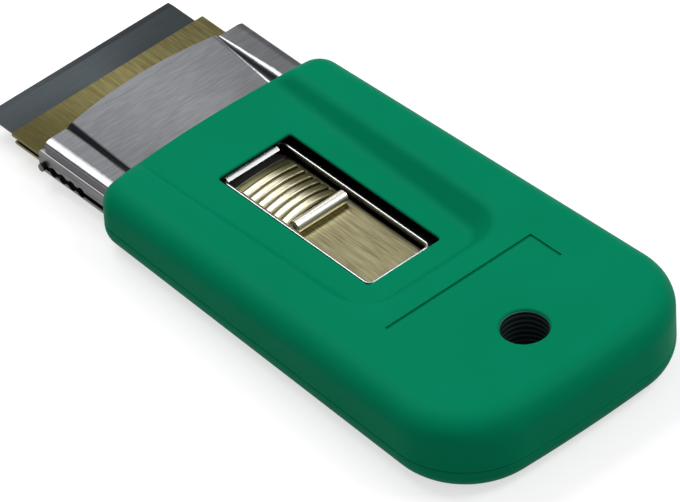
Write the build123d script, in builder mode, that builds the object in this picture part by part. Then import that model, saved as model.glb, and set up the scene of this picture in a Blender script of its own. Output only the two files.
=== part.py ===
from build123d import *

import os
from math import atan2, cos, degrees, radians, sin, tan

# Ceramic hob scraper with a retracting single-edge blade, drawn with the blade out.
# Millimetres. +Z is up from the flat underside, -Y is the blade end, X is across.
# The origin is under the middle of the whole tool, from blade edge to the back of the jacket.

# Jacket, outside
jacket_length = 89.7
jacket_side_wall = 3.4
jacket_flare = 5.4
jacket_front_height = 12.45
jacket_rear_height = 14.85
jacket_mouth_bow = 1.7
jacket_rear_bow = 1.3
jacket_front_corner = 4.7
jacket_rear_corner = 14.4
jacket_top_round = 4.4
jacket_bottom_round = 4.4
jacket_wall = 2.4
seam_height = 5.05
seam_groove_upper = 0.1
seam_groove_lower = 0.35

# Trough and window in the top of the jacket
trough_floor_height = 10.15
trough_length = 52.4
trough_front_width = 28.3
trough_rear_width = 24.7
trough_wall_lean = 45.0
trough_corner = 3.6
trough_edge_round = 2.5
trough_foot_round = 2.5
window_front = 11.9
window_length = 36.1
window_width = 15.7
window_corner = 0.6
window_edge_round = 0.35
window_relief = 1.6

# Hanging hole and the plain angle groove behind the trough
hang_hole_diameter = 8.0
hang_hole_from_mouth = 76.2
hang_hole_round = 0.6
hang_hole_seam_turn = 25.0
hang_tube_wall = 2.2
groove_from_mouth = 60.9
groove_span = 31.2
groove_return = 7.0
groove_width = 0.6
groove_depth = 0.35

# Sheet-steel sleeve
sheet = 0.5
sleeve_side_room = 1.6
sleeve_bottom_height = 2.25
sleeve_top_height = 9.55
sleeve_depth_in_jacket = 67.0
cover_setback_left = 2.1
cover_setback_right = 1.8
cover_seam = 0.2
cover_crown_round = 3.0
cover_crown_turn = 26.0
cover_fold_round = 0.6
panel_setback = 1.3
panel_front_bow = 1.5
panel_drop = 1.3
panel_narrowing = 1.0
flange_width = 4.3
channel_slope = 45.0
channel_foot_round = 0.7
channel_top_round = 1.6
channel_start_share = 0.1
slope_lead = 0.3
sleeve_window_front = 11.0
sleeve_window_length = 35.5
sleeve_window_width = 12.8
window_lip_run = 0.8
window_lip_drop = 0.5
rim_width = 0.45
rim_height = 0.45
rim_round = 0.2
sleeve_window_corner = 0.8
tray_front = 17.0
tray_wall_height = 7.2
tray_fold_round = 0.8
tray_nose_round = 1.2
tail_width = 26.0
tail_beyond_hole = 8.5
tail_corner = 6.0
stop_tab_width = 16.0
stop_tab_height = 4.2

# Side slot with click notches
slot_width = 1.0
slot_height = 3.95
stud_neck_diameter = 0.8
stud_head_diameter = 1.4
stud_head_height = 0.6
stud_inset = 1.2
notch_pitch = 2.3
notch_count = 4
notch_diameter = 1.9

# Blade and its back
blade_width = 40.0
blade_depth = 20.0
blade_thickness = 0.3
blade_edge_land = 1.3
blade_bare = 7.7
blade_back_depth = 3.5
blade_back_thickness = 1.2
blade_back_wall = 0.4
blade_back_round = 0.3

# Carrier: upper jaw, neck and strip in one plate, and the lower jaw
travel = 17.5
plate_thickness = 0.6
plate_overhang = 0.9
jaw_behind_blade = 3.4
shoulder_run = 7.0
neck_width = 12.6
neck_corner = 2.5
joggle_front = 9.6
joggle_run = 3.2
strip_top_height = 6.65
strip_rear = 48.3
lower_jaw_thickness = 0.5
lower_jaw_overhang = 0.5
lower_jaw_setback = 0.3
ear_setback = 8.6
ear_length = 2.4
ear_thickness = 0.4
ear_gap = 0.05

# Thumb pad
pad_front = 13.0
pad_length = 13.0
pad_plain_front = 1.6
pad_width = 10.7
pad_front_rise = 0.7
pad_rear_rise = 1.5
pad_edge_height = 0.35
rib_count = 6
rib_width = 1.45
rib_height = 0.45
rib_round = 0.4
roll_diameter = 2.3
roll_bore = 0.8
roll_gap = 0.4

# Fasteners
jaw_rivet_count = 3
jaw_rivet_diameter = 2.0
jaw_rivet_collar = 3.2
jaw_rivet_spacing = 14.0
jaw_rivet_head_height = 0.2
sleeve_rivet_diameter = 3.0
sleeve_rivet_setback = 7.0
sleeve_rivet_inset = 2.3
sleeve_rivet_collar = 4.4
sleeve_rivet_bore = 1.4
spring_rivet_diameter = 1.8
spring_rivet_head = 3.0
spring_rivet_head_height = 0.3
spring_rivet_from_mouth = 46.3

# Drag spring under the strip
spring_thickness = 0.3
spring_width = 8.0
spring_end_pad = 4.0
spring_tip_rise = 2.0
spring_front = 22.0

# Locating parts inside the jacket
collar_depth = 4.0
rib_thickness = 1.6
rib_station_front = 22.0
rib_station_middle = 42.0
rib_station_rear = 62.0
peg_diameter = 3.0
peg_height = 4.0
peg_spread = 34.0
peg_from_mouth = 82.5
peg_boss_wall = 1.4
rear_rib_spread = 30.0

# Clearances, cutting overrun and the nearness by which an edge is picked
running_gap = 0.1
seat_gap = 0.1
overrun = 5.0
near = 0.12

# Widths that follow from the blade
plate_width = blade_width + 2 * plate_overhang
lower_jaw_width = blade_width + 2 * lower_jaw_overhang
sleeve_width = blade_width + 2 * sleeve_side_room
jacket_front_width = sleeve_width + 2 * jacket_side_wall
jacket_rear_width = jacket_front_width + jacket_flare
channel_rounds = channel_foot_round + channel_top_round
channel_straight = panel_drop - channel_rounds * (1 - cos(radians(channel_slope)))
channel_run = channel_rounds * sin(radians(channel_slope)) + channel_straight / tan(radians(channel_slope))
panel_half_width = sleeve_width / 2 - flange_width - channel_run
sleeve_rivet_spacing = 2 * (panel_half_width - sleeve_rivet_inset)

# Reaches from the mouth that follow from the sleeve, each step standing on the one before
slope_front = tray_front + slope_lead
stud_from_mouth = tray_front - stud_inset
lower_jaw_front = stud_from_mouth + ear_setback
plate_front = lower_jaw_front + lower_jaw_setback
blade_reach = plate_front + blade_bare
jaw_depth = blade_depth - blade_bare + jaw_behind_blade
lower_jaw_depth = jaw_depth + lower_jaw_setback

# Places worked out from the sizes above
mouth_y = (blade_reach - jacket_length - jacket_rear_bow) / 2
jacket_rear_y = mouth_y + jacket_length
hang_hole_y = mouth_y + hang_hole_from_mouth
window_y = mouth_y + window_front + window_length / 2
window_lip_y = mouth_y + sleeve_window_front
sleeve_window_y = window_lip_y + sleeve_window_length / 2
sleeve_rear_y = mouth_y + sleeve_depth_in_jacket
sleeve_half = sleeve_width / 2
cover_foot_height = tray_wall_height + cover_seam
panel_height = sleeve_top_height - panel_drop
floor_height = sleeve_bottom_height + sheet
lower_jaw_base = floor_height + running_gap
lower_jaw_top = lower_jaw_base + lower_jaw_thickness
plate_base = lower_jaw_top + blade_back_thickness
plate_top = plate_base + plate_thickness
strip_base = strip_top_height - plate_thickness
blade_middle = lower_jaw_top + blade_back_thickness / 2
blade_edge_y = mouth_y - blade_reach
blade_rear_y = blade_edge_y + blade_depth
tube_radius = hang_hole_diameter / 2 + hang_tube_wall
tail_rear_y = hang_hole_y + tail_beyond_hole
peg_y = mouth_y + peg_from_mouth
stud_y = mouth_y - stud_from_mouth
jaw_rivet_y = blade_rear_y + blade_back_wall + running_gap + jaw_rivet_collar / 2
sleeve_rivet_y = sleeve_rear_y - sleeve_rivet_setback
spring_rivet_y = mouth_y + spring_rivet_from_mouth
top_lean = degrees(atan2(jacket_rear_height - jacket_front_height, jacket_length))
top_plane = Plane(
    origin=(0, mouth_y, jacket_front_height),
    x_dir=(1, 0, 0),
    z_dir=(0, -sin(radians(top_lean)), cos(radians(top_lean))),
)


def edges_near(shape, axis, x_place, z_place):
    """Edges along one axis whose middle is at a distance from the centre plane and a height."""
    return shape.edges().filter_by(axis).filter_by(
        lambda e: abs(abs(e.center().X) - x_place) < near
        and abs(e.center().Z - z_place) < near
    )


# Jacket form shared by both shells

with BuildSketch() as jacket_outline:
    with BuildLine():
        front_half = jacket_front_width / 2
        rear_half = jacket_rear_width / 2
        mouth_arc = ThreePointArc(
            (-front_half, mouth_y + jacket_mouth_bow / 2),
            (0, mouth_y - jacket_mouth_bow / 2),
            (front_half, mouth_y + jacket_mouth_bow / 2),
        )
        right_side = Line(mouth_arc @ 1, (rear_half, jacket_rear_y))
        rear_arc = ThreePointArc(
            right_side @ 1, (0, jacket_rear_y + jacket_rear_bow), (-rear_half, jacket_rear_y)
        )
        Line(rear_arc @ 1, mouth_arc @ 0)
    make_face()
    corners = jacket_outline.vertices().sort_by(Axis.Y)
    fillet(corners[:2], jacket_front_corner)
    corners = jacket_outline.vertices().sort_by(Axis.Y)
    fillet(corners[-2:], jacket_rear_corner)

with BuildPart() as jacket_form:
    add(jacket_outline.sketch)
    extrude(amount=jacket_rear_height + overrun)
    split(bisect_by=top_plane, keep=Keep.BOTTOM)
    fillet(jacket_form.faces().sort_by(Axis.Z)[-1].edges(), jacket_top_round)
    fillet(jacket_form.faces().sort_by(Axis.Z)[0].edges(), jacket_bottom_round)

# Hollows beside and behind the sleeve, leaving a mouth collar, ribs, hole tube and peg bosses
with BuildSketch() as hollow_plan:
    add(jacket_outline.sketch)
    offset(amount=-jacket_wall)
    with Locations((0, mouth_y)):
        Rectangle(jacket_rear_width, 2 * collar_depth, mode=Mode.SUBTRACT)
        pocket_width = sleeve_width + 2 * seat_gap
        pocket_depth = sleeve_depth_in_jacket + seat_gap + rib_thickness
        Rectangle(pocket_width, 2 * pocket_depth, mode=Mode.SUBTRACT)
    for station in (rib_station_front, rib_station_middle, rib_station_rear, hang_hole_from_mouth):
        with Locations((0, mouth_y + station)):
            Rectangle(jacket_rear_width, rib_thickness, mode=Mode.SUBTRACT)
    with Locations((-rear_rib_spread / 2, hang_hole_y), (rear_rib_spread / 2, hang_hole_y)):
        Rectangle(rib_thickness, jacket_length / 2, mode=Mode.SUBTRACT)
    with Locations((0, hang_hole_y)):
        Circle(tube_radius, mode=Mode.SUBTRACT)
    with Locations((-peg_spread / 2, peg_y), (peg_spread / 2, peg_y)):
        Circle(peg_diameter / 2 + peg_boss_wall, mode=Mode.SUBTRACT)


# Upper shell

with BuildPart() as upper_shell:
    add(jacket_form.part)
    split(bisect_by=Plane.XY.offset(seam_height), keep=Keep.TOP)
    chamfer(upper_shell.faces().sort_by(Axis.Z)[0].edges(), seam_groove_upper)

    # Sunken trough, open at the mouth
    with BuildSketch(Plane.XY.offset(trough_floor_height)):
        with BuildLine():
            Polyline(
                (-trough_front_width / 2, mouth_y - overrun),
                (trough_front_width / 2, mouth_y - overrun),
                (trough_front_width / 2, mouth_y),
                (trough_rear_width / 2, mouth_y + trough_length),
                (-trough_rear_width / 2, mouth_y + trough_length),
                (-trough_front_width / 2, mouth_y),
                close=True,
            )
        trough_face = make_face()
        fillet(trough_face.vertices().sort_by(Axis.Y)[-2:], trough_corner)
    extrude(amount=jacket_rear_height, taper=-trough_wall_lean, mode=Mode.SUBTRACT)
    trough_rim = upper_shell.edges().filter_by(
        lambda e: e.center().Z > jacket_front_height
        and abs(e.center().X) < trough_front_width / 2 + trough_corner
        and e.center().Y < mouth_y + trough_length + trough_corner
        and e.center().Y > mouth_y + jacket_top_round
    )
    fillet(trough_rim, trough_edge_round)
    trough_foot = upper_shell.edges().filter_by(
        lambda e: abs(e.center().Z - trough_floor_height) < near
        and abs(e.center().X) < trough_front_width / 2 + near
        and e.center().Y < mouth_y + trough_length + near
        and e.center().Y > mouth_y
    )
    fillet(trough_foot, trough_foot_round)

    # Window through the trough floor, with the sleeve's rim seen below its edge
    with BuildSketch(Plane.XY.offset(seam_height)):
        with Locations((0, window_y)):
            RectangleRounded(window_width, window_length, window_corner)
    extrude(amount=jacket_rear_height, mode=Mode.SUBTRACT)
    window_rim = upper_shell.edges().filter_by(
        lambda e: abs(e.center().Z - trough_floor_height) < near
        and abs(e.center().X) < window_width / 2 + near
        and abs(e.center().Y - window_y) < window_length / 2 + near
    )
    fillet(window_rim, window_edge_round)

    # Pocket for the sleeve, with a land that fills the dip of its sunken panel
    land_height = panel_height + seat_gap
    land_foot = panel_half_width
    land_root = panel_half_width + channel_run / 2
    with BuildSketch(Plane.XZ.offset(-sleeve_rear_y - seat_gap)):
        with BuildLine():
            Polyline(
                (-pocket_width / 2, seam_height - overrun),
                (-pocket_width / 2, sleeve_top_height),
                (-land_root, sleeve_top_height),
                (-land_foot, land_height),
                (land_foot, land_height),
                (land_root, sleeve_top_height),
                (pocket_width / 2, sleeve_top_height),
                (pocket_width / 2, seam_height - overrun),
                close=True,
            )
        make_face()
    extrude(amount=sleeve_depth_in_jacket + seat_gap + overrun, mode=Mode.SUBTRACT)
    with BuildSketch(Plane.XY.offset(seam_height)):
        with Locations((0, window_y)):
            relief = 2 * window_relief
            RectangleRounded(window_width + relief, window_length + relief, window_corner)
    extrude(amount=sleeve_top_height - seam_height, mode=Mode.SUBTRACT)

    # Hollows, peg sockets and hanging hole
    with BuildSketch(Plane.XY.offset(seam_height)):
        add(hollow_plan.sketch)
    extrude(amount=sleeve_top_height - seam_height, mode=Mode.SUBTRACT)
    with BuildSketch(Plane.XY.offset(seam_height)):
        with Locations((-peg_spread / 2, peg_y), (peg_spread / 2, peg_y)):
            Circle((peg_diameter + running_gap) / 2)
    extrude(amount=peg_height + seat_gap, mode=Mode.SUBTRACT)
    with BuildSketch(Plane.XY.offset(seam_height)):
        with Locations((0, hang_hole_y)):
            with PolarLocations(0, 1, start_angle=hang_hole_seam_turn):
                Circle(hang_hole_diameter / 2)
    extrude(amount=jacket_rear_height, mode=Mode.SUBTRACT)
    hole_rim = upper_shell.edges().filter_by(
        lambda e: abs(e.bounding_box().center().Y - hang_hole_y) < near
        and abs(e.bounding_box().center().X) < near
        and e.bounding_box().center().Z > jacket_front_height
        and e.bounding_box().size.X < hang_hole_diameter + near
    )
    fillet(hole_rim, hang_hole_round)

    # Plain angle groove behind the trough
    with BuildSketch(top_plane):
        with BuildLine():
            Polyline(
                (groove_span / 2, groove_from_mouth),
                (-groove_span / 2, groove_from_mouth),
                (-groove_span / 2, groove_from_mouth + groove_return),
            )
        trace(line_width=groove_width)
    extrude(amount=-groove_depth, mode=Mode.SUBTRACT)

upper_shell.part.label = "upper_shell"


# Lower shell

with BuildPart() as lower_shell:
    add(jacket_form.part)
    split(bisect_by=Plane.XY.offset(seam_height), keep=Keep.BOTTOM)
    chamfer(lower_shell.faces().sort_by(Axis.Z)[-1].edges(), seam_groove_lower)

    # Bed for the sleeve and its tail, around the hole tube
    with BuildSketch(Plane.XY.offset(sleeve_bottom_height)):
        with Locations((0, sleeve_rear_y + seat_gap)):
            bed_length = sleeve_depth_in_jacket + overrun
            Rectangle(pocket_width, bed_length, align=(Align.CENTER, Align.MAX))
        with Locations((0, tail_rear_y + seat_gap)):
            Rectangle(
                tail_width + 2 * seat_gap,
                tail_rear_y - sleeve_rear_y,
                align=(Align.CENTER, Align.MAX),
            )
        with Locations((0, hang_hole_y)):
            Circle(tube_radius, mode=Mode.SUBTRACT)
    extrude(amount=seam_height, mode=Mode.SUBTRACT)

    # Room for the heads of the click studs at the back of their travel
    with BuildSketch(Plane.XY.offset(slot_height - stud_head_diameter / 2 - running_gap)):
        with Locations((0, stud_y + travel + stud_head_diameter / 2 + running_gap)):
            Rectangle(
                sleeve_width + 2 * (stud_head_height + 2 * running_gap),
                stud_head_diameter + overrun,
                align=(Align.CENTER, Align.MAX),
            )
    extrude(amount=seam_height, mode=Mode.SUBTRACT)

    # Locating pegs and hanging hole
    with BuildSketch(Plane.XY.offset(sleeve_bottom_height)):
        with Locations((-peg_spread / 2, peg_y), (peg_spread / 2, peg_y)):
            Circle(peg_diameter / 2)
    extrude(amount=seam_height - sleeve_bottom_height + peg_height)
    with BuildSketch():
        with Locations((0, hang_hole_y)):
            Circle(hang_hole_diameter / 2)
    extrude(amount=seam_height, mode=Mode.SUBTRACT)
    hole_foot = lower_shell.edges().filter_by(GeomType.CIRCLE).filter_by(
        lambda e: abs(e.radius - hang_hole_diameter / 2) < near
        and e.center().Z < sleeve_bottom_height
    )
    fillet(hole_foot, hang_hole_round)

lower_shell.part.label = "lower_shell"


# Sleeve cover: folded sheet, its middle panel sinking towards the jacket

def cover_outline(share, narrowing, depth, foot):
    """Right half of the cover's section, with a share of the full channel, at a depth in the sheet."""
    side = sleeve_half - depth
    top = sleeve_top_height - depth
    crown = cover_crown_round - depth
    fold = cover_fold_round - depth
    turned = sin(radians(cover_crown_turn))
    crown_x = side - crown * turned - fold * (1 - turned)
    panel_x = panel_half_width + panel_narrowing - narrowing
    panel = Line((0, top - share * panel_drop), (panel_x, top - share * panel_drop))
    hollow = JernArc(panel @ 1, (1, 0), share * channel_foot_round, channel_slope)
    slope_length = share * channel_straight / sin(radians(channel_slope))
    slope = Line(hollow @ 1, hollow @ 1 + (hollow % 1) * slope_length)
    brow = JernArc(slope @ 1, slope % 1, share * channel_top_round, -channel_slope)
    flange = Line(brow @ 1, (crown_x, top))
    gentle = JernArc(flange @ 1, (1, 0), crown, -cover_crown_turn)
    tight = JernArc(gentle @ 1, gentle % 1, fold, cover_crown_turn - 90)
    skirt = Line(tight @ 1, (side, foot))
    Line(skirt @ 1, (0, foot))


cover_stations = (
    (mouth_y - slope_front, channel_start_share, 0),
    (mouth_y - jacket_mouth_bow, 1, panel_narrowing),
    (sleeve_rear_y, 1, panel_narrowing),
)

with BuildPart() as sleeve_cover:
    for depth, foot, mode in (
        (0, cover_foot_height, Mode.ADD),
        (sheet, cover_foot_height - overrun, Mode.SUBTRACT),
    ):
        for station_y, share, narrowing in cover_stations:
            with BuildSketch(Plane.XZ.offset(-station_y)):
                with BuildLine():
                    cover_outline(share, narrowing, depth, foot)
                    mirror(about=Plane.YZ)
                make_face()
        loft(ruled=True, mode=mode)

    # Front edge: flanges set back unequally, bowed middle panel
    with BuildSketch():
        with BuildLine():
            nose_x = panel_half_width + panel_narrowing
            nose_y = mouth_y - tray_front + panel_setback
            left_y = mouth_y - tray_front + cover_setback_left
            right_y = mouth_y - tray_front + cover_setback_right
            bow = ThreePointArc((-nose_x, nose_y), (0, nose_y - panel_front_bow), (nose_x, nose_y))
            Polyline(
                bow @ 1,
                (nose_x + channel_run * channel_start_share, right_y),
                (sleeve_half, right_y),
                (sleeve_half, sleeve_rear_y),
                (-sleeve_half, sleeve_rear_y),
                (-sleeve_half, left_y),
                (-nose_x - channel_run * channel_start_share, left_y),
                bow @ 0,
            )
        make_face()
    extrude(amount=jacket_rear_height, mode=Mode.INTERSECT)

    # Window with a raised rim, and holes for the sleeve rivets
    with BuildSketch(Plane.XY.offset(panel_height - sheet / 2)):
        with Locations((0, sleeve_window_y)):
            RectangleRounded(
                sleeve_window_width + 2 * rim_width,
                sleeve_window_length + 2 * rim_width,
                sleeve_window_corner + rim_width,
            )
    extrude(amount=rim_height + sheet / 2)
    with BuildSketch(Plane.XY.offset(cover_foot_height)):
        with Locations((0, sleeve_window_y)):
            RectangleRounded(sleeve_window_width, sleeve_window_length, sleeve_window_corner)
        with Locations(
            (-sleeve_rivet_spacing / 2, sleeve_rivet_y), (sleeve_rivet_spacing / 2, sleeve_rivet_y)
        ):
            Circle(sleeve_rivet_diameter / 2)
    extrude(amount=sleeve_top_height, mode=Mode.SUBTRACT)
    rim_face = sleeve_cover.faces().filter_by(Axis.Z).filter_by(
        lambda f: abs(f.center().Z - panel_height - rim_height) < near
    )
    fillet(rim_face.edges(), rim_round)

    # Lip bent down at the front of the window
    with BuildSketch(Plane.YZ):
        with BuildLine():
            lip_end_y = window_lip_y + window_lip_run
            lip_end_height = panel_height - window_lip_drop
            Polyline(
                (window_lip_y - sheet, panel_height),
                (window_lip_y, panel_height),
                (lip_end_y, lip_end_height),
                (lip_end_y - sheet, lip_end_height),
                (window_lip_y - sheet, panel_height - sheet),
                close=True,
            )
        make_face()
    extrude(amount=sleeve_window_width / 2 - sleeve_window_corner, both=True)

sleeve_cover.part.label = "sleeve_cover"


# Sleeve tray: folded channel with the click slots, a stop tab and a tail

with BuildPart() as sleeve_tray:
    with BuildSketch(Plane.XZ.offset(-sleeve_rear_y)):
        with Locations((0, sleeve_bottom_height)):
            Rectangle(
                sleeve_width,
                tray_wall_height - sleeve_bottom_height,
                align=(Align.CENTER, Align.MIN),
            )
        with Locations((0, floor_height)):
            Rectangle(
                sleeve_width - 2 * sheet,
                tray_wall_height,
                align=(Align.CENTER, Align.MIN),
                mode=Mode.SUBTRACT,
            )
    extrude(amount=sleeve_depth_in_jacket + tray_front)
    fillet(edges_near(sleeve_tray, Axis.Y, sleeve_half, sleeve_bottom_height), tray_fold_round)
    inner_fold = edges_near(sleeve_tray, Axis.Y, sleeve_half - sheet, floor_height)
    fillet(inner_fold, tray_fold_round - sheet)
    nose = edges_near(sleeve_tray, Axis.X, sleeve_half - sheet / 2, tray_wall_height)
    fillet(nose.sort_by(Axis.Y)[:2], tray_nose_round)

    # Tail around the hole tube
    with BuildSketch(Plane.XY.offset(sleeve_bottom_height)):
        with Locations((0, tail_rear_y)):
            tail_length = tail_rear_y - sleeve_rear_y + sheet
            tail = Rectangle(tail_width, tail_length, align=(Align.CENTER, Align.MAX))
        fillet(tail.vertices().sort_by(Axis.Y)[-2:], min(tail_corner, tail_length / 2))
    extrude(amount=sheet)
    with BuildSketch():
        with Locations((0, hang_hole_y)):
            Circle(tube_radius + seat_gap)
        with Locations(
            (-sleeve_rivet_spacing / 2, sleeve_rivet_y), (sleeve_rivet_spacing / 2, sleeve_rivet_y)
        ):
            Circle(sleeve_rivet_diameter / 2)
    extrude(amount=sleeve_top_height, mode=Mode.SUBTRACT)

    # Stop tab behind the strip
    with BuildSketch(Plane.XY.offset(sleeve_bottom_height)):
        with Locations((0, mouth_y + strip_rear + travel + running_gap)):
            Rectangle(stop_tab_width, sheet, align=(Align.CENTER, Align.MIN))
    extrude(amount=sheet + stop_tab_height)

    # Click slots with their round notches
    with BuildSketch(Plane.YZ):
        with Locations((stud_y + travel / 2, slot_height)):
            SlotOverall(travel + stud_neck_diameter + 2 * running_gap, slot_width)
        for notch in range(notch_count):
            with Locations((stud_y + (notch + 1) * notch_pitch, slot_height)):
                Circle(notch_diameter / 2)
    extrude(amount=sleeve_width, both=True, mode=Mode.SUBTRACT)

sleeve_tray.part.label = "sleeve_tray"


# Tubular rivets between tray and cover

with BuildPart() as sleeve_rivets:
    with BuildSketch(Plane.XY.offset(sleeve_bottom_height)):
        with Locations(
            (-sleeve_rivet_spacing / 2, sleeve_rivet_y), (sleeve_rivet_spacing / 2, sleeve_rivet_y)
        ):
            Circle(sleeve_rivet_diameter / 2)
    extrude(amount=panel_height - sleeve_bottom_height)
    with BuildSketch(Plane.XY.offset(floor_height)):
        with Locations(
            (-sleeve_rivet_spacing / 2, sleeve_rivet_y), (sleeve_rivet_spacing / 2, sleeve_rivet_y)
        ):
            Circle(sleeve_rivet_collar / 2)
    extrude(amount=panel_height - sheet - floor_height)
    with BuildSketch(Plane.XY.offset(sleeve_bottom_height)):
        with Locations(
            (-sleeve_rivet_spacing / 2, sleeve_rivet_y), (sleeve_rivet_spacing / 2, sleeve_rivet_y)
        ):
            Circle(sleeve_rivet_bore / 2)
    extrude(amount=panel_height, mode=Mode.SUBTRACT)

sleeve_rivets.part.label = "sleeve_rivets"


# Carrier plate: upper jaw, shoulders, joggle and strip

with BuildPart() as carrier_plate:
    with BuildSketch(Plane.YZ):
        with BuildLine():
            front_y = mouth_y - plate_front
            joggle_y = mouth_y + joggle_front
            rear_y = mouth_y + strip_rear
            Polyline(
                (front_y, plate_base),
                (joggle_y, plate_base),
                (joggle_y + joggle_run, strip_base),
                (rear_y, strip_base),
                (rear_y, strip_top_height),
                (joggle_y + joggle_run, strip_top_height),
                (joggle_y, plate_top),
                (front_y, plate_top),
                close=True,
            )
        make_face()
    extrude(amount=plate_width, both=True)
    with BuildSketch():
        with BuildLine():
            shoulder_y = mouth_y - plate_front + jaw_depth
            Polyline(
                (-plate_width / 2, front_y),
                (plate_width / 2, front_y),
                (plate_width / 2, shoulder_y),
                (neck_width / 2, shoulder_y + shoulder_run),
                (neck_width / 2, rear_y),
                (-neck_width / 2, rear_y),
                (-neck_width / 2, shoulder_y + shoulder_run),
                (-plate_width / 2, shoulder_y),
                close=True,
            )
        plate_face = make_face()
        neck_points = plate_face.vertices().filter_by(
            lambda v: abs(v.Y - shoulder_y - shoulder_run) < sheet
        )
        fillet(neck_points, neck_corner)
    extrude(amount=jacket_rear_height, mode=Mode.INTERSECT)
    with BuildSketch():
        with Locations((0, jaw_rivet_y)):
            with GridLocations(jaw_rivet_spacing, 0, jaw_rivet_count, 1):
                Circle(jaw_rivet_diameter / 2)
        with Locations((0, spring_rivet_y)):
            Circle(spring_rivet_diameter / 2)
    extrude(amount=jacket_rear_height, mode=Mode.SUBTRACT)

carrier_plate.part.label = "carrier_plate"


# Lower jaw with an upturned ear at each end

with BuildPart() as lower_jaw:
    with BuildSketch(Plane.XY.offset(lower_jaw_base)):
        with Locations((0, mouth_y - lower_jaw_front)):
            Rectangle(lower_jaw_width, lower_jaw_depth, align=(Align.CENTER, Align.MIN))
    extrude(amount=lower_jaw_thickness)
    with BuildSketch(Plane.XY.offset(lower_jaw_base)):
        ear_x = (lower_jaw_width - ear_thickness) / 2
        with Locations((-ear_x, stud_y), (ear_x, stud_y)):
            Rectangle(ear_thickness, ear_length)
    extrude(amount=plate_base - ear_gap - lower_jaw_base)
    with BuildSketch():
        with Locations((0, jaw_rivet_y)):
            with GridLocations(jaw_rivet_spacing, 0, jaw_rivet_count, 1):
                Circle(jaw_rivet_diameter / 2)
    extrude(amount=jacket_rear_height, mode=Mode.SUBTRACT)
    with BuildSketch(Plane.YZ):
        with Locations((stud_y, slot_height)):
            Circle(stud_neck_diameter / 2)
    extrude(amount=lower_jaw_width, both=True, mode=Mode.SUBTRACT)

lower_jaw.part.label = "lower_jaw"


# Click studs through the side slots

with BuildPart() as click_studs:
    for side in (-1, 1):
        with BuildSketch(Plane.YZ.offset(side * (lower_jaw_width / 2 - ear_thickness))):
            with Locations((stud_y, slot_height)):
                Circle(stud_neck_diameter / 2)
        extrude(amount=side * (sleeve_half + running_gap + ear_thickness - lower_jaw_width / 2))
        with BuildSketch(Plane.YZ.offset(side * (sleeve_half + running_gap))):
            with Locations((stud_y, slot_height)):
                Circle(stud_head_diameter / 2)
        extrude(amount=side * stud_head_height)

click_studs.part.label = "click_studs"


# Jaw rivets, with a collar that keeps the jaws apart behind the blade

with BuildPart() as jaw_rivets:
    for base, height, diameter in (
        (lower_jaw_base, plate_top - lower_jaw_base, jaw_rivet_diameter),
        (lower_jaw_top, blade_back_thickness, jaw_rivet_collar),
        (plate_top, jaw_rivet_head_height, jaw_rivet_collar),
    ):
        with BuildSketch(Plane.XY.offset(base)):
            with Locations((0, jaw_rivet_y)):
                with GridLocations(jaw_rivet_spacing, 0, jaw_rivet_count, 1):
                    Circle(diameter / 2)
        extrude(amount=height)

jaw_rivets.part.label = "jaw_rivets"


# Blade, ground to an edge, and its folded back

with BuildPart() as blade:
    with BuildSketch(Plane.YZ):
        with BuildLine():
            Polyline(
                (blade_edge_y, blade_middle),
                (blade_edge_y + blade_edge_land, blade_middle - blade_thickness / 2),
                (blade_rear_y, blade_middle - blade_thickness / 2),
                (blade_rear_y, blade_middle + blade_thickness / 2),
                (blade_edge_y + blade_edge_land, blade_middle + blade_thickness / 2),
                close=True,
            )
        make_face()
    extrude(amount=blade_width / 2, both=True)

blade.part.label = "blade"

with BuildPart() as blade_back:
    with BuildSketch(Plane.YZ):
        with Locations((blade_rear_y + blade_back_wall, blade_middle)):
            back = Rectangle(
                blade_back_depth, blade_back_thickness, align=(Align.MAX, Align.CENTER)
            )
        fillet(back.vertices().sort_by(Axis.X)[-2:], blade_back_round)
        with Locations((blade_rear_y, blade_middle)):
            Rectangle(
                blade_depth, blade_thickness, align=(Align.MAX, Align.CENTER), mode=Mode.SUBTRACT
            )
    extrude(amount=blade_width / 2, both=True)

blade_back.part.label = "blade_back"


# Thumb pad: arched and ribbed, with a rolled bar at its rear

def pad_section(place_y, edge, crown):
    """Arched section of the thumb pad at one place along the strip."""
    with BuildSketch(Plane.XZ.offset(-place_y)) as section:
        with BuildLine():
            foot = Line(
                (-pad_width / 2, strip_top_height + edge), (-pad_width / 2, strip_top_height)
            )
            base = Line(foot @ 1, (pad_width / 2, strip_top_height))
            rise = Line(base @ 1, (pad_width / 2, strip_top_height + edge))
            ThreePointArc(rise @ 1, (0, strip_top_height + crown), foot @ 0)
        make_face()
    return section.sketch.face()


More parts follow.
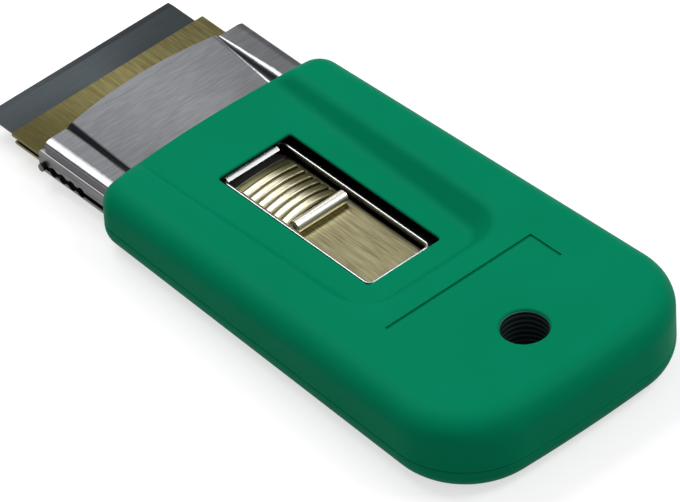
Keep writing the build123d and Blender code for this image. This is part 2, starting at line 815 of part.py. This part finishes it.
with BuildPart() as thumb_pad:
    pad_y = mouth_y + pad_front
    rib_pitch = (pad_length - pad_plain_front) / rib_count
    bar_y = pad_y + pad_length + roll_gap + roll_diameter / 2
    for rib in range(rib_count):
        rib_middle = pad_plain_front + (rib + 1 / 2) * rib_pitch
        crown = pad_front_rise + (pad_rear_rise - pad_front_rise) * rib_middle / pad_length
        rib_rear = pad_y + rib_middle + rib_width / 2
        rib_face = pad_section(rib_rear, pad_edge_height + rib_height, crown + rib_height)
        extrude(rib_face, amount=rib_width, dir=(0, -1, 0))
    fillet(thumb_pad.edges().filter_by(GeomType.CIRCLE), rib_round)
    pad_ends = [
        pad_section(pad_y, pad_edge_height, pad_front_rise),
        pad_section(pad_y + pad_length, pad_edge_height, pad_rear_rise),
    ]
    loft(sections=pad_ends, ruled=True)
    with BuildSketch(Plane.XY.offset(strip_top_height)):
        with Locations((0, bar_y)):
            Rectangle(pad_width, pad_length / 2, align=(Align.CENTER, Align.MAX))
    extrude(amount=pad_edge_height)
    with BuildSketch(Plane.YZ):
        with Locations((bar_y, strip_top_height + roll_diameter / 2)):
            Circle(roll_diameter / 2)
    extrude(amount=pad_width / 2, both=True)
    with BuildSketch(Plane.YZ):
        with Locations((bar_y, strip_top_height + roll_diameter / 2)):
            Circle(roll_bore / 2)
    extrude(amount=pad_width / 2, both=True, mode=Mode.SUBTRACT)

thumb_pad.part.label = "thumb_pad"


# Drag spring bowed down to the tray floor, and its rivet

with BuildPart() as drag_spring:
    with BuildSketch(Plane.YZ):
        with BuildLine():
            pad_z = strip_base - spring_thickness / 2
            low_z = floor_height + running_gap + spring_thickness / 2
            pad_end_y = spring_rivet_y - spring_end_pad / 2
            tip_y = mouth_y + spring_front
            low_y = (pad_end_y + tip_y) / 2
            Line((spring_rivet_y + spring_end_pad / 2, pad_z), (pad_end_y, pad_z))
            bend_middle = ((pad_end_y + low_y) / 2, (pad_z + low_z) / 2)
            fall = TangentArc((pad_end_y, pad_z), bend_middle, tangent=(-1, 0))
            TangentArc(bend_middle, (low_y, low_z), tangent=fall % 1)
            TangentArc((low_y, low_z), (tip_y, low_z + spring_tip_rise), tangent=(-1, 0))
        trace(line_width=spring_thickness)
    extrude(amount=spring_width / 2, both=True)
    with BuildSketch():
        with Locations((0, spring_rivet_y)):
            Circle(spring_rivet_diameter / 2)
    extrude(amount=jacket_rear_height, mode=Mode.SUBTRACT)

drag_spring.part.label = "drag_spring"

with BuildPart() as spring_rivet:
    head_base = strip_base - spring_thickness - spring_rivet_head_height
    with BuildSketch(Plane.XY.offset(head_base)):
        with Locations((0, spring_rivet_y)):
            Circle(spring_rivet_diameter / 2)
    extrude(amount=strip_top_height - head_base)
    for base in (head_base, strip_top_height):
        with BuildSketch(Plane.XY.offset(base)):
            with Locations((0, spring_rivet_y)):
                Circle(spring_rivet_head / 2)
        extrude(amount=spring_rivet_head_height)

spring_rivet.part.label = "spring_rivet"


# One file for each piece

os.makedirs("parts", exist_ok=True)
export_step(upper_shell.part, "parts/upper_shell.step")
export_step(lower_shell.part, "parts/lower_shell.step")
export_step(sleeve_cover.part, "parts/sleeve_cover.step")
export_step(sleeve_tray.part, "parts/sleeve_tray.step")
export_step(sleeve_rivets.part, "parts/sleeve_rivets.step")
export_step(carrier_plate.part, "parts/carrier_plate.step")
export_step(lower_jaw.part, "parts/lower_jaw.step")
export_step(click_studs.part, "parts/click_studs.step")
export_step(jaw_rivets.part, "parts/jaw_rivets.step")
export_step(blade.part, "parts/blade.step")
export_step(blade_back.part, "parts/blade_back.step")
export_step(thumb_pad.part, "parts/thumb_pad.step")
export_step(drag_spring.part, "parts/drag_spring.step")
export_step(spring_rivet.part, "parts/spring_rivet.step")
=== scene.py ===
import math

import bpy
from mathutils import Matrix, Vector

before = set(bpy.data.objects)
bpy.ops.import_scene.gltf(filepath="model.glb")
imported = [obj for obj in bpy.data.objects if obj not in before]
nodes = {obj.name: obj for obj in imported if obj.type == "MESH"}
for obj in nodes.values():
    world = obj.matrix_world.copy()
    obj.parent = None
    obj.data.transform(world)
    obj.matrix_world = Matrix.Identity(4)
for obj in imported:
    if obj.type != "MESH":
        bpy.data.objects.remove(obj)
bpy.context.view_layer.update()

bpy.ops.object.select_all(action="DESELECT")

MM = 0.001

# Places along the scraper. The mouth is the jacket's front, and the blade lies before it
mouth_y = -29.3 * MM
window_low_y, window_high_y = mouth_y + 11.9 * MM, mouth_y + 48.0 * MM
hole_y = mouth_y + 76.2 * MM
strip_shade_low_y, strip_shade_high_y = mouth_y + 9.5 * MM, mouth_y + 12.9 * MM
lip_low_y, lip_high_y = mouth_y + 10.4 * MM, mouth_y + 12.0 * MM
pad_edge_y = mouth_y + 13.275 * MM
first_groove_y, rib_pitch = mouth_y + 14.6 * MM, 1.9 * MM
ribs_high_y = first_groove_y + 6.2 * rib_pitch
pad_bar_y = mouth_y + 26.4 * MM
olive_end_y, olive_full_y = pad_bar_y - 0.1 * MM, pad_bar_y - 0.3 * MM
jaw_dark_y, jaw_light_y = -40 * MM, -22 * MM
corner_dark_y, corner_light_y = -34 * MM, -24 * MM

# Places across the scraper
rim_x, lip_x, lip_dim_x = 7.2 * MM, 7.6 * MM, 7.8 * MM
window_wall_x, window_edge_x = 9.6 * MM, 9.8 * MM
channel_low_x, channel_high_x = 15.6 * MM, 16.6 * MM
broad_dirt_low_x, broad_dirt_high_x = 15.0 * MM, 16.9 * MM
skirt_x, fold_x = 21.55 * MM, 21.4 * MM
pad_olive_x, pad_bright_x = -3.2 * MM, 1.5 * MM
corner_dark_x, corner_light_x = 20 * MM, -2 * MM

# Heights over the surface that the scraper lies on
seam_height = 5.05 * MM
tray_wall_top = 7.2 * MM
rim_top = 8.7 * MM
shade_top, shade_full = rim_top - 0.25 * MM, rim_top - 0.4 * MM
skirt_top, fold_top = 8.8 * MM, 9.0 * MM
channel_foot_top, channel_clean = 9.1 * MM, 9.5 * MM
window_wall_top, window_edge_top = 9.6 * MM, 9.95 * MM
hole_rim_low = 13.85 * MM

# Widths of lines, and how soft their edges are
crisp = 0.05 * MM
soft = 0.1 * MM
seam_line_low, seam_line_high, seam_soft = 0.02 * MM, 0.16 * MM, 0.04 * MM
hole_wall_reach, hole_edge_reach = 4.15 * MM, 4.3 * MM
hole_rim_width, hole_rim_soft = 0.12 * MM, 0.06 * MM
window_margin = 2 * MM
mouth_soft = 1 * MM
wall_line = 0.28 * MM
channel_soft, broad_dirt_soft = 0.35 * MM, 0.3 * MM
groove_shaded, groove_unshaded = 0.12 * MM, 0.3 * MM
pad_front_soft, pad_edge_soft = 0.3 * MM, 0.075 * MM
before_groove, before_bar = 0.2 * MM, 0.2 * MM


# Camera at the photograph's angle, far off with a long lens

def aim_camera():
    turn, height, roll = (math.radians(angle) for angle in (40.124, 41.948, -3.149))
    out = Vector((math.sin(turn) * math.cos(height), math.cos(turn) * math.cos(height), math.sin(height)))
    flat_right = (-out).cross(Vector((0, 0, 1))).normalized()
    flat_up = flat_right.cross(-out)
    right = flat_right * math.cos(roll) + flat_up * math.sin(roll)
    up = flat_up * math.cos(roll) - flat_right * math.sin(roll)
    # The scraper's middle is seen beside the middle of the picture, in pixels of the photograph
    scraper_middle = Vector((0, 10.7 * MM, 5.65 * MM))
    picture_middle_px = (340, 251)
    scraper_middle_px = (371.90, 258.44)
    pixels_per_mm = 6.2321
    to_right, to_top = (
        (middle - seen) * MM / pixels_per_mm for middle, seen in zip(picture_middle_px, scraper_middle_px)
    )
    target = scraper_middle + right * to_right - up * to_top
    distance = 1.3542
    lens = bpy.data.cameras.new("camera")
    lens.sensor_width = 36
    lens.lens = 446.8
    lens.clip_start = 0.1
    lens.clip_end = 20
    camera = bpy.data.objects.new("camera", lens)
    bpy.context.scene.collection.objects.link(camera)
    turned = Matrix((right, up, out)).transposed().to_4x4()
    camera.matrix_world = Matrix.Translation(target + out * distance) @ turned
    bpy.context.scene.camera = camera


aim_camera()


# Small helpers for node materials

def new_material(name):
    material = bpy.data.materials.new(name)
    material.use_nodes = True
    tree = material.node_tree
    shader = tree.nodes["Principled BSDF"]
    return material, tree, shader


def place_of(tree, scale):
    """Object coordinates stretched by three scales, in pattern lengths per metre."""
    where = tree.nodes.new("ShaderNodeTexCoord")
    stretch = tree.nodes.new("ShaderNodeMapping")
    stretch.inputs["Scale"].default_value = scale
    tree.links.new(where.outputs["Object"], stretch.inputs["Vector"])
    return stretch.outputs["Vector"]


def grain(tree, scale, detail=4.0, roughness=0.55):
    """Noise between nought and one, stretched by three scales."""
    noise = tree.nodes.new("ShaderNodeTexNoise")
    noise.inputs["Scale"].default_value = 1.0
    noise.inputs["Detail"].default_value = detail
    noise.inputs["Roughness"].default_value = roughness
    tree.links.new(place_of(tree, scale), noise.inputs["Vector"])
    return noise.outputs["Fac"]


def steps(tree, value, stops):
    """Colour ramp through (place, colour) stops."""
    ramp = tree.nodes.new("ShaderNodeValToRGB")
    line = ramp.color_ramp
    while len(line.elements) < len(stops):
        line.elements.new(0.5)
    for element, (place, colour) in zip(line.elements, stops):
        element.position = place
        element.color = (*colour, 1)
    tree.links.new(value, ramp.inputs["Fac"])
    return ramp.outputs["Color"]


def span(tree, value, low, high):
    """A pattern value spread between two numbers."""
    spread = tree.nodes.new("ShaderNodeMapRange")
    spread.inputs["To Min"].default_value = low
    spread.inputs["To Max"].default_value = high
    tree.links.new(value, spread.inputs["Value"])
    return spread.outputs["Result"]


def relief(tree, shader, value, depth, strength):
    """Shallow bumps that follow a pattern."""
    bump = tree.nodes.new("ShaderNodeBump")
    bump.inputs["Distance"].default_value = depth
    bump.inputs["Strength"].default_value = strength
    tree.links.new(value, bump.inputs["Height"])
    tree.links.new(bump.outputs["Normal"], shader.inputs["Normal"])


def object_place(tree):
    """The three object coordinates, each on its own, in metres."""
    where = tree.nodes.new("ShaderNodeTexCoord")
    parts = tree.nodes.new("ShaderNodeSeparateXYZ")
    tree.links.new(where.outputs["Object"], parts.inputs["Vector"])
    return parts.outputs["X"], parts.outputs["Y"], parts.outputs["Z"]


def number(tree, operation, *values):
    """A Math node of one operation on sockets or plain numbers."""
    node = tree.nodes.new("ShaderNodeMath")
    node.operation = operation
    for socket, value in zip(node.inputs, values):
        if isinstance(value, (int, float)):
            socket.default_value = value
        else:
            tree.links.new(value, socket)
    return node.outputs["Value"]


def product(tree, first, *others):
    """Shares multiplied together."""
    whole = first
    for share in others:
        whole = number(tree, "MULTIPLY", whole, share)
    return whole


def rising(tree, value, start, end):
    """Nought up to one place, one from another place on, smooth between."""
    ramp = tree.nodes.new("ShaderNodeMapRange")
    ramp.interpolation_type = "SMOOTHSTEP"
    ramp.inputs["From Min"].default_value = start
    ramp.inputs["From Max"].default_value = end
    tree.links.new(value, ramp.inputs["Value"])
    return ramp.outputs["Result"]


def within(tree, value, low, high, edge):
    """One between two places and nought outside them, with soft edges."""
    up = rising(tree, value, low - edge, low + edge)
    down = rising(tree, value, high + edge, high - edge)
    return number(tree, "MULTIPLY", up, down)


def blend(tree, share, first, second):
    """Two colours mixed by a share."""
    mixer = tree.nodes.new("ShaderNodeMix")
    mixer.data_type = "RGBA"
    tree.links.new(share, mixer.inputs[0])
    for socket, colour in ((mixer.inputs[6], first), (mixer.inputs[7], second)):
        if isinstance(colour, tuple):
            socket.default_value = (*colour, 1)
        else:
            tree.links.new(colour, socket)
    return mixer.outputs[2]


# Green jacket

def window_wall(tree, x, y, z):
    """Share of the jacket's window walls, below their rounded edge, where shade is painted."""
    along = within(tree, y, window_low_y - window_margin, window_high_y + window_margin, soft)
    across = rising(tree, number(tree, "ABSOLUTE", x), window_edge_x, window_wall_x)
    return product(tree, along, across, rising(tree, z, window_edge_top, window_wall_top))


def near_hanging_hole(tree, x, y):
    """Share of the hanging hole's wall and rounded rim."""
    along = number(tree, "SUBTRACT", y, hole_y)
    squares = number(tree, "MULTIPLY_ADD", x, x, number(tree, "MULTIPLY", along, along))
    reach = number(tree, "SQRT", squares)
    return rising(tree, reach, hole_edge_reach, hole_wall_reach)


def hole_shade_rings(tree):
    """Painted shade down the wall of the hanging hole, banded in dark rings."""
    rings = tree.nodes.new("ShaderNodeTexWave")
    rings.bands_direction = "Z"
    rings.inputs["Scale"].default_value = 0.3
    rings.inputs["Distortion"].default_value = 1.5
    tree.links.new(place_of(tree, (1000, 1000, 1000)), rings.inputs["Vector"])
    return steps(
        tree, rings.outputs["Fac"], [(0.5, (0.012, 0.021, 0.021)), (0.9, (0.06, 0.09, 0.085))]
    )


def green_plastic():
    """Satin moulded plastic, with painted highlights along the seam and on the hole's rim, and painted
    shade on its window walls and in its hole.
    """
    material, tree, shader = new_material("green_plastic")
    x, y, z = object_place(tree)
    mottle = grain(tree, (60, 60, 60), detail=3)
    tone = steps(tree, mottle, [(0.3, (0.0, 0.222, 0.105)), (0.7, (0.0, 0.236, 0.112))])
    # Painted highlight: a pale green line along the seam between the shells.
    seam = within(tree, z, seam_height + seam_line_low, seam_height + seam_line_high, seam_soft)
    tone = blend(tree, product(tree, seam, 0.6), tone, (0.06, 0.36, 0.24))
    # Painted shade: the window walls are painted nearly black.
    tone = blend(tree, window_wall(tree, x, y, z), tone, (0.001, 0.006, 0.005))
    near_hole = near_hanging_hole(tree, x, y)
    # Painted shade inside the hanging hole, below its rim.
    in_hole = product(tree, near_hole, rising(tree, z, hole_rim_low + soft, hole_rim_low - soft))
    tone = blend(tree, in_hole, tone, hole_shade_rings(tree))
    # Painted highlight: a pale ring on the hanging hole's rounded rim.
    rim = within(tree, z, hole_rim_low, hole_rim_low + hole_rim_width, hole_rim_soft)
    tone = blend(tree, product(tree, near_hole, rim, 0.8), tone, (0.3, 0.42, 0.36))
    tree.links.new(tone, shader.inputs["Base Color"])
    rub = grain(tree, (260, 120, 260), detail=6)
    tree.links.new(span(tree, rub, 0.42, 0.58), shader.inputs["Roughness"])
    shader.inputs["Specular IOR Level"].default_value = 0.02
    moulded_skin = grain(tree, (1800, 1800, 1800), detail=2)
    relief(tree, shader, moulded_skin, 0.03 * MM, 0.35)
    return material


# Brushed metals, with layers of tone and of painted light and shade

def brushed(name, dark, light, across, base_rough=(0.22, 0.4), depth=0.02 * MM, tone_and_light_layers=(), coarse=None):
    """Brushed metal: fine streaks along one way, with broader ones where asked, and layers of tone and of
    painted light and shade.

    Each layer is a share of the surface and the colour that it takes there.
    """
    material, tree, shader = new_material(name)
    fine = grain(tree, across, detail=5, roughness=0.7)
    streak = fine
    if coarse:
        broad = grain(tree, coarse, detail=2, roughness=0.5)
        streak = number(tree, "MULTIPLY_ADD", broad, 0.5, number(tree, "MULTIPLY", fine, 0.5))
    tone = steps(tree, streak, [(0.36, dark), (0.64, light)])
    for layer in tone_and_light_layers:
        share, colour = layer(tree)
        tone = blend(tree, share, tone, colour)
    tree.links.new(tone, shader.inputs["Base Color"])
    shader.inputs["Metallic"].default_value = 1.0
    shader.inputs["Anisotropic"].default_value = 0.4
    tree.links.new(span(tree, fine, *base_rough), shader.inputs["Roughness"])
    relief(tree, shader, fine, depth, 0.5)
    return material


def under_jacket(tree, y):
    """Share of the cover that lies behind the jacket's mouth."""
    return rising(tree, y, mouth_y, mouth_y + mouth_soft)


def shade_on_skirt(tree):
    """Painted shade on the folded edges of the cover, below the fold."""
    x, _, z = object_place(tree)
    outer = rising(tree, number(tree, "ABSOLUTE", x), fold_x, skirt_x)
    return product(tree, outer, rising(tree, z, fold_top, skirt_top)), (0.07, 0.07, 0.075)


def channel_shade(tree):
    """Painted shade along the foot of the cover's two channels, broader in one of them."""
    x, _, z = object_place(tree)
    foot = within(tree, number(tree, "ABSOLUTE", x), channel_low_x, channel_high_x, channel_soft)
    thin = product(tree, foot, rising(tree, z, channel_clean, channel_foot_top), 0.85)
    broad = within(tree, x, broad_dirt_low_x, broad_dirt_high_x, broad_dirt_soft)
    return number(tree, "MAXIMUM", thin, broad), (0.014, 0.016, 0.02)


def rim_highlight(tree):
    """The rim and lip of the window carry a painted highlight."""
    x, y, _ = object_place(tree)
    near_window = within(tree, x, -rim_x, rim_x, crisp)
    return product(tree, under_jacket(tree, y), near_window), (0.5, 0.52, 0.51)


def dimmed_lip(tree):
    """Painted shade on the bent lip at the front of the window: it is greyer than the rim's painted
    highlight.
    """
    x, y, _ = object_place(tree)
    along = within(tree, y, lip_low_y, lip_high_y + soft, crisp)
    return product(tree, along, within(tree, x, -lip_dim_x, lip_dim_x, crisp)), (0.2, 0.21, 0.21)


def shade_under_jacket(tree):
    """Painted shade on the cover below the jacket's window, all but the raised rim and the bent lip."""
    x, y, z = object_place(tree)
    low = rising(tree, z, shade_top, shade_full)
    lip = product(
        tree, within(tree, y, lip_low_y, lip_high_y, crisp), within(tree, x, -lip_x, lip_x, crisp)
    )
    off_lip = number(tree, "SUBTRACT", 1.0, lip)
    return product(tree, under_jacket(tree, y), low, off_lip), (0.010, 0.011, 0.011)


def wall_edge_highlight(tree):
    """Painted highlight along the upper edge of the tray's walls, where the cover folds over it."""
    _, _, z = object_place(tree)
    return within(tree, z, tray_wall_top - wall_line, tray_wall_top, crisp), (0.62, 0.62, 0.64)


def darker_at_jaws(tree):
    """The brass is darker at the jaws, with streaks of its own, and lighter further back."""
    _, y, _ = object_place(tree)
    streaks = steps(
        tree, grain(tree, (2400, 190, 2400), detail=4, roughness=0.65),
        [(0.34, (0.17, 0.145, 0.058)), (0.66, (0.3, 0.265, 0.115))],
    )
    return rising(tree, y, jaw_light_y, jaw_dark_y), streaks


def darker_at_corner(tree):
    """The jaws are darkest towards one corner."""
    x, y, _ = object_place(tree)
    along = rising(tree, y, corner_light_y, corner_dark_y)
    across = rising(tree, x, corner_light_x, corner_dark_x)
    return product(tree, along, across, 0.8), (0.075, 0.065, 0.022)


def shade_before_pad(tree):
    """Painted shade on the strip just before the thumb pad."""
    _, y, _ = object_place(tree)
    return within(tree, y, strip_shade_low_y, strip_shade_high_y, soft), (0.012, 0.011, 0.007)


def shaded_side_of_pad(tree):
    """One side of the pad keeps the bright brass, and painted shade turns the other side and the front
    olive.
    """
    x, y, _ = object_place(tree)
    side = rising(tree, x, pad_bright_x, pad_olive_x)
    front = rising(tree, y, first_groove_y + pad_front_soft, first_groove_y - pad_front_soft)
    off_bar = rising(tree, y, olive_end_y, olive_full_y)
    share = product(tree, number(tree, "MAXIMUM", side, front), off_bar, 0.88)
    return share, (0.15, 0.14, 0.045)


def shade_between_ribs(tree):
    """Painted shade: dark lines in the grooves between the ribs of the thumb pad."""
    _, y, _ = object_place(tree)
    along = number(tree, "SUBTRACT", y, first_groove_y)
    off_groove = number(tree, "PINGPONG", along, rib_pitch / 2)
    in_groove = rising(tree, off_groove, groove_unshaded, groove_shaded)
    on_ribs = within(tree, y, first_groove_y - before_groove, ribs_high_y, crisp)
    return product(tree, in_groove, on_ribs, 0.9), (0.03, 0.027, 0.012)


def highlight_on_pad_edges(tree):
    """Painted highlight on the rolled bar and the front edge of the pad."""
    _, y, _ = object_place(tree)
    bar = rising(tree, y, pad_bar_y - before_bar, pad_bar_y)
    front = rising(tree, y, pad_edge_y + pad_edge_soft, pad_edge_y - pad_edge_soft)
    return number(tree, "MAXIMUM", bar, product(tree, front, 0.8)), (0.97, 0.94, 0.84)


# A finish for each piece: streaks run across the scraper or along it

along_x = (160, 5200, 2000)
along_y = (5200, 160, 2000)

jacket_plastic = green_plastic()
sleeve_steel = brushed(
    "sleeve_steel", (0.225, 0.23, 0.245), (0.325, 0.33, 0.345), along_x, coarse=(260, 2800, 900),
    tone_and_light_layers=(shade_on_skirt, channel_shade, rim_highlight, dimmed_lip, shade_under_jacket),
)
tray_steel = brushed(
    "tray_steel", (0.085, 0.085, 0.088), (0.185, 0.185, 0.192), along_y, tone_and_light_layers=(wall_edge_highlight,)
)
brass_sheet = brushed(
    "brass_sheet", (0.22, 0.195, 0.1), (0.46, 0.42, 0.25), along_y, coarse=(2300, 150, 900),
    tone_and_light_layers=(darker_at_jaws, darker_at_corner, shade_before_pad),
)
jaw_brass = brushed("jaw_brass", (0.11, 0.095, 0.04), (0.24, 0.21, 0.095), along_y)
blade_steel = brushed(
    "blade_steel", (0.07, 0.083, 0.09), (0.085, 0.1, 0.107), along_x,
    base_rough=(0.3, 0.4), depth=0.008 * MM,
)
pad_brass = brushed(
    "pad_brass", (0.62, 0.575, 0.38), (0.9, 0.86, 0.68), along_x, base_rough=(0.32, 0.46),
    tone_and_light_layers=(shaded_side_of_pad, shade_between_ribs, highlight_on_pad_edges),
)
dark_steel = brushed("dark_steel", (0.05, 0.05, 0.05), (0.1, 0.1, 0.1), along_x)

finishes = {
    "upper_shell": jacket_plastic,
    "lower_shell": jacket_plastic,
    "sleeve_cover": sleeve_steel,
    "sleeve_tray": tray_steel,
    "sleeve_rivets": tray_steel,
    "carrier_plate": brass_sheet,
    "lower_jaw": jaw_brass,
    "thumb_pad": pad_brass,
    "blade": blade_steel,
    "blade_back": sleeve_steel,
    "click_studs": dark_steel,
    "jaw_rivets": dark_steel,
    "drag_spring": tray_steel,
    "spring_rivet": brass_sheet,
}
for name, piece in nodes.items():
    piece.data.materials.clear()
    piece.data.materials.append(finishes[name])


# Floor, backdrop and studio light

def open_to_view(tree):
    """One where a ray comes from the camera, a reflection or a clear surface, else nought."""
    seen = tree.nodes.new("ShaderNodeLightPath")
    either = number(tree, "MAXIMUM", seen.outputs["Is Camera Ray"], seen.outputs["Is Glossy Ray"])
    return number(tree, "MAXIMUM", either, seen.outputs["Is Transmission Ray"])


def pale_floor():
    """Plain paper that glows a little to the eye, just under the scraper's flat underside."""
    bpy.ops.mesh.primitive_plane_add(size=6, location=(0, 0, -0.02 * MM))
    floor = bpy.context.object
    floor.name = "floor"
    material, tree, shader = new_material("floor_paper")
    shader.inputs["Base Color"].default_value = (0.5, 0.5, 0.5, 1)
    shader.inputs["Roughness"].default_value = 1.0
    shader.inputs["Specular IOR Level"].default_value = 0.0
    shader.inputs["Emission Color"].default_value = (1, 1, 1, 1)
    tree.links.new(span(tree, open_to_view(tree), 0.0, 0.64), shader.inputs["Emission Strength"])
    floor.data.materials.append(material)


def soft_lamp(name, place, width, height, watts):
    """A broad lamp turned to the scraper."""
    lamp = bpy.data.lights.new(name, "AREA")
    lamp.shape = "RECTANGLE"
    lamp.size = width
    lamp.size_y = height
    lamp.energy = watts
    body = bpy.data.objects.new(name, lamp)
    body.location = place
    body.rotation_euler = (-Vector(place)).to_track_quat("-Z", "Y").to_euler()
    bpy.context.scene.collection.objects.link(body)


def studio_sky():
    """White overhead, dimmer towards the horizon, and plain white behind the floor's edge."""
    world = bpy.data.worlds.new("studio")
    world.use_nodes = True
    tree = world.node_tree
    backdrop = tree.nodes["Background"]
    backdrop.inputs["Color"].default_value = (1, 1, 1, 1)
    where = tree.nodes.new("ShaderNodeTexCoord")
    parts = tree.nodes.new("ShaderNodeSeparateXYZ")
    tree.links.new(where.outputs["Generated"], parts.inputs["Vector"])
    rise = span(tree, parts.outputs["Z"], 0.16, 0.5)
    seen = tree.nodes.new("ShaderNodeLightPath")
    choice = tree.nodes.new("ShaderNodeMix")
    tree.links.new(seen.outputs["Is Camera Ray"], choice.inputs["Factor"])
    tree.links.new(rise, choice.inputs["A"])
    choice.inputs["B"].default_value = 1.0
    tree.links.new(choice.outputs["Result"], backdrop.inputs["Strength"])
    bpy.context.scene.world = world


pale_floor()
studio_sky()
soft_lamp("key_light", place=(0, -0.66, 0.95), width=0.7, height=0.45, watts=5.9)
soft_lamp("second_light", place=(-0.55, 0.4, 0.92), width=0.4, height=0.4, watts=4)
bpy.context.scene.view_settings.view_transform = "Standard"
